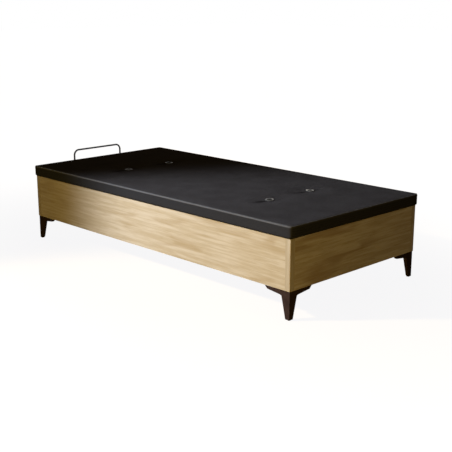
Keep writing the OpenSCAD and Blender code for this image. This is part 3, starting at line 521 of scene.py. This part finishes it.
CLOTH, CLOTH_SHADE, CLOTH_BORDER = (0.317, 0.306, 0.321), (0.292, 0.281, 0.294), (0.232, 0.233, 0.258)
# The first two colours on the next line are painted light: a highlight for the long top edges, and a shadow
# for the creases beside the vents.
CLOTH_EDGE_HIGHLIGHT, CLOTH_CREASE_SHADE, CLOTH_HOLE = (0.47, 0.475, 0.51), (0.13, 0.125, 0.13), (0.12, 0.115, 0.12)
EDGE_HIGHLIGHT_SHARE, CREASE_SHADE_SHARE, HOLE_SHARE = 0.9, 0.75, 0.5
HOLE_PITCH, HOLE_SKEW = 0.0042, 0.6
# The painted crease shadow beside a vent: its slant, how it widens, its width, and where it starts and
# ends.
CREASE_SHADE_SLANT, CREASE_SHADE_WIDENS, CREASE_SHADE_WIDE = 0.05, 0.07, 0.009
CREASE_SHADE_START, CREASE_SHADE_END = (0.015, 0.034), (0.045, 0.14)
# Below the top, and in from the long edge: where the border's shade and the painted highlight line come in.
BORDER_DOWN, HIGHLIGHT_DOWN, HIGHLIGHT_IN = (0.012, 0.007), (0.010, 0.005), (0.007, 0.002)


def knit(place):
    """The open knit of spacer cloth: rows of small round holes, at 45 degrees on every face."""
    x, y, z = place.split()
    turns = 2 * math.pi / HOLE_PITCH
    a = ((x + y + z) * turns).sine()
    b = ((x - y + z * HOLE_SKEW) * turns).sine()
    return (a * b).held(0.05, 0.85)


def painted_crease_shade(place):
    """1 along a painted shadow of the crease beside each vent, on the vent's +X side only."""
    x, y, _ = place.split()
    share = 0.0
    for vent_x in (-VENT_X, VENT_X):
        for vent_y in (-VENT_FOOT_Y, VENT_HEAD_Y):
            along = x - vent_x
            across = abs(y - (vent_y + cover_mid_y) + along * CREASE_SHADE_SLANT)
            wide = along * CREASE_SHADE_WIDENS + CREASE_SHADE_WIDE
            line = (across / wide).held(0.1, 1.5, 1.0, 0.0)
            share = share + line * along.held(*CREASE_SHADE_START) * along.held(*CREASE_SHADE_END, 1.0, 0.0)
    return share


def cloth_colour(place):
    """Dark grey, a shade deeper on the border below the seam, with a painted highlight along the long top
    edges and a painted shadow along the crease beside each vent.
    """
    x, _, z = place.split()
    border = z.held(*(cover_high.z - down for down in BORDER_DOWN), 1.0, 0.0)
    # Painted highlight: the long top edges are made paler where the light catches the rolled edge.
    painted_highlight = z.held(*(cover_high.z - down for down in HIGHLIGHT_DOWN))
    painted_highlight = painted_highlight * abs(x).held(*(COVER_HALF.x - inward for inward in HIGHLIGHT_IN))
    body = mottled(CLOTH, CLOTH_SHADE, 9.0)(place)
    body = blended(border, body, CLOTH_BORDER)
    body = blended(painted_highlight * EDGE_HIGHLIGHT_SHARE, body, CLOTH_EDGE_HIGHLIGHT)
    # Painted shadow: the cloth is darkened along the crease beside each vent.
    body = blended(painted_crease_shade(place) * CREASE_SHADE_SHARE, body, CLOTH_CREASE_SHADE)
    return blended(knit(place) * HOLE_SHARE, body, CLOTH_HOLE)


def cloth_height(place):
    return 1.0 - knit(place)


cover = sewn_piece("mesh_cloth_cover", cover_shape)
mesh_cloth = finish("black mesh cloth", cloth_colour, 0.85, cloth_height, depth=0.0004,
                    Specular_IOR_Level=0.0)
cover.data.materials.append(mesh_cloth)
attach(cover, "lid")
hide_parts("lid_cover")


# ---------------------------------------------------------------------------
# Edge piping: a thin cord wrapped in a strip of the cover's cloth, sewn into the seam round its top edge.
# The strip is coloured paler than the cover as a painted highlight on the edge, and stands a little proud
# of it.

PIPE_R, PIPE_IN, PIPE_SIDES, CORNER_STEPS = 0.0014, 0.0027, 10, 6
# The tape's pale grey paints in the highlight that the top edge catches.
PIPING_HIGHLIGHT_GREY, PIPING_HIGHLIGHT_DEEPER = (0.40, 0.405, 0.43), (0.34, 0.345, 0.37)


def piping_path():
    """The seam's closed path in plan, with the cover's round corners."""
    half_x, half_y = COVER_HALF.x - PIPE_IN, COVER_HALF.y - PIPE_IN
    turn = CORNER - PIPE_IN
    path = []
    for quarter, (side, end) in enumerate(((1, 1), (-1, 1), (-1, -1), (1, -1))):
        for k in range(CORNER_STEPS + 1):
            angle = math.radians(90 * quarter + 90 * k / CORNER_STEPS)
            path.append((side * (half_x - turn) + turn * math.cos(angle),
                         end * (half_y - turn) + turn * math.sin(angle)))
    return path


def piping_shape():
    """A round cord along the seam's path."""
    shape = bmesh.new()
    path = piping_path()
    seam_z, up = cover_high.z - CROWN - PIPE_IN, Vector((0, 0, 1))
    angles = [2 * math.pi * j / PIPE_SIDES for j in range(PIPE_SIDES)]
    rings = []
    for k, (x, y) in enumerate(path):
        back, on = path[k - 1], path[(k + 1) % len(path)]
        way = Vector((on[0] - back[0], on[1] - back[1], 0)).normalized()
        out, middle = Vector((way.y, -way.x, 0)), Vector((x, y + cover_mid_y, seam_z))
        rings.append([shape.verts.new(middle + PIPE_R * (out * math.cos(angle) + up * math.sin(angle)))
                      for angle in angles])
    for k, ring in enumerate(rings):
        for j in range(PIPE_SIDES):
            shape.faces.new((rings[k - 1][j - 1], ring[j - 1], ring[j], rings[k - 1][j]))
    return shape


piping = sewn_piece("edge_piping", piping_shape())
tape = finish("piping tape with painted highlight", mottled(PIPING_HIGHLIGHT_GREY, PIPING_HIGHLIGHT_DEEPER, 60.0, detail=2.0), patchy(0.55, 0.12, 300.0),
              grain(900.0, detail=2.0), depth=0.00005, Specular_IOR_Level=0.1)
piping.data.materials.append(tape)
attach(piping, "lid")


# ---------------------------------------------------------------------------
# Bumpers: ten round pads of black rubber under the lid's frame, each held by a stem pushed into a
# hole in the tube. They land on the box's top edge and keep the shadow gap there.

RUBBER, RUBBER_SHADE = (0.09, 0.09, 0.09), (0.06, 0.06, 0.06)
rubber = finish("black rubber", flecked(RUBBER, RUBBER_SHADE, 200.0), 0.7, grain(500.0), depth=0.0001)
dress(rubber, "lid_bumpers")


# ---------------------------------------------------------------------------
# Air vents: black moulded rings, their satin sheen painted in as a pale grey colour, each with a threaded
# tube that goes down through cloth, foam and board to a nut under the board, and a fine grille in its
# mouth.

# The rings' pale grey is a painted sheen standing in for the gloss of black plastic; the next line's tones
# are for the rings.
VENT_SHEEN_GREY, VENT_SHEEN_GREY_DEEP = (0.43, 0.43, 0.44), (0.36, 0.36, 0.37)
HIDDEN_BLACK, HIDDEN_SHADE = (0.12, 0.12, 0.125), (0.09, 0.09, 0.095)
GRILLE, GRILLE_SHADE = (0.04, 0.04, 0.04), (0.02, 0.02, 0.02)


def moulding(name, black, shade, roughness, gloss):
    """Moulded plastic with a faint orange peel. For the vent rings the colour is a pale grey that paints in
    their sheen.
    """
    return finish(name, flecked(black, shade, 120.0), patchy(roughness, 0.08, 300.0), grain(250.0),
                  depth=0.00003, Specular_IOR_Level=gloss)


dress(moulding("black moulding with painted sheen", VENT_SHEEN_GREY, VENT_SHEEN_GREY_DEEP, 0.34, 0.01), "vent_rings")
hidden_black = moulding("plain black moulding", HIDDEN_BLACK, HIDDEN_SHADE, 0.36, 0.2)
dress(hidden_black, "vent_back_nuts")
grille = finish("vent grille", flecked(GRILLE, GRILLE_SHADE, 300.0), 0.7, grain(600.0), depth=0.0001,
                Specular_IOR_Level=0.0)
dress(grille, "vent_grilles")


# ---------------------------------------------------------------------------
# The mattress bar: one steel rod bent into a loop, polished dark, its ends in black sleeves through
# the foot tube with a washer and nut behind. It stops the mattress and lifts the lid.

BAR_STEEL, BAR_DULL = (0.25, 0.25, 0.255), (0.18, 0.18, 0.185)
dress(worn_metal("polished dark steel", BAR_STEEL, BAR_DULL, 0.2), "mattress_bar")
dress(hidden_black, "bar_sleeves")


# ---------------------------------------------------------------------------
# The studio: a pale floor and a white surround, a key lamp whose edge falls across the foot end, two
# weak low lamps for the sides, and the camera at the photograph's place.

LENS, SENSOR, CLIP_END = 70.45, 36.0, 60
EYE, YAW, PITCH = (3.091, 3.2915, 1.3193), math.radians(-134.302), math.radians(-14.436)
camera_data = bpy.data.cameras.new("camera")
camera_data.lens, camera_data.sensor_width, camera_data.sensor_fit = LENS, SENSOR, "HORIZONTAL"
camera_data.clip_end = CLIP_END
camera = bpy.data.objects.new("camera", camera_data)
bpy.context.scene.collection.objects.link(camera)
camera.location = EYE
look = Vector((math.cos(YAW) * math.cos(PITCH), math.sin(YAW) * math.cos(PITCH), math.sin(PITCH)))
camera.rotation_euler = look.to_track_quat("-Z", "Y").to_euler()
bpy.context.scene.camera = camera


def seen_directly(tree):
    """1 where the camera looks, or a mirror or glass does, and 0 where light only bounces."""
    path = Tint(tree).node("LightPath").outputs
    camera_ray, glossy, through = (Tint(tree, path[name]) for name in
                                   ("Is Camera Ray", "Is Glossy Ray", "Is Transmission Ray"))
    return camera_ray.maths("MINIMUM", camera_ray + glossy + through, 1.0)


# The floor's own colour warms the light that bounces up. Seen directly it also glows, from pale grey
# under the bed to white further out.
BLACK, WHITE = (0.0, 0.0, 0.0), (1.0, 1.0, 1.0)
FLOOR_HALF, FLOOR_COLOUR = 30.0, (0.48, 0.40, 0.26)
GLOW_NEAR, GLOW_START, GLOW_END, GLOW_SQUASH = (0.955, 0.958, 0.965), 0.6, 1.9, 0.45
floor_mesh = bpy.data.meshes.new("floor")
floor_mesh.from_pydata([(FLOOR_HALF * side, FLOOR_HALF * end, 0)
                        for side, end in ((-1, -1), (1, -1), (1, 1), (-1, 1))], [], [(0, 1, 2, 3)])
floor = bpy.data.objects.new("floor", floor_mesh)
bpy.context.scene.collection.objects.link(floor)
floor_finish = finish("pale floor", FLOOR_COLOUR, 0.9, Specular_IOR_Level=0.0)
floor_tree = floor_finish.node_tree
floor_shader = floor_tree.nodes["Principled BSDF"]
x, y, _ = Tint(floor_tree).take("TexCoord", "Object").split()
away = (x * x + y * y * GLOW_SQUASH) ** 0.5
glow = blended(away.held(GLOW_START, GLOW_END), GLOW_NEAR, WHITE)
glow.feed(floor_shader.inputs["Emission Color"], blended(seen_directly(floor_tree), BLACK, glow))
floor_shader.inputs["Emission Strength"].default_value = 1.0
floor_mesh.materials.append(floor_finish)


def lamp(name, kind, power, colour, place, aim):
    """A lamp at a place, turned to what it lights."""
    light = bpy.data.lights.new(name, kind)
    light.energy, light.color = power, colour
    stand = bpy.data.objects.new(name, light)
    stand.location = place
    stand.rotation_euler = (Vector(aim) - Vector(place)).to_track_quat("-Z", "Y").to_euler()
    bpy.context.scene.collection.objects.link(stand)
    return light


key = lamp("key lamp", "SPOT", 652, (0.93, 0.985, 1.0), (3.113, -1.381, 2.433), (1.72, 1.552, 0.3))
key.spot_size, key.spot_blend, key.shadow_soft_size = math.radians(80), 0.394, 0.12
fill = lamp("fill lamp", "AREA", 36.0, (1.0, 0.71, 0.15), (3.4, 1.9, 0.34), (0.4, 0.3, 0.25))
back = lamp("back lamp", "AREA", 36.0, (1.0, 0.90, 0.75), (-3.4, -2.2, 0.45), (-0.3, -0.2, 0.25))
fill.size = back.size = 0.9

# The surround is white to look at, and lights the bed with a weak warm glow.
WARM, ROOM_GLOW = (1.0, 0.85, 0.58), 0.055
warm_room = tuple(c * ROOM_GLOW for c in linear(WARM)[:3]) + (1.0,)
world = bpy.data.worlds.new("studio")
world.use_nodes = True
bpy.context.scene.world = world
surround = world.node_tree.nodes["Background"]
surround.inputs["Strength"].default_value = 1.0
seen = seen_directly(world.node_tree)
room = seen.take("Mix", 2, {"data_type": "RGBA"}, Factor=seen, _6=warm_room, _7=linear(WHITE))
room.feed(surround.inputs["Color"], room)
bpy.context.scene.view_settings.view_transform = "Standard"
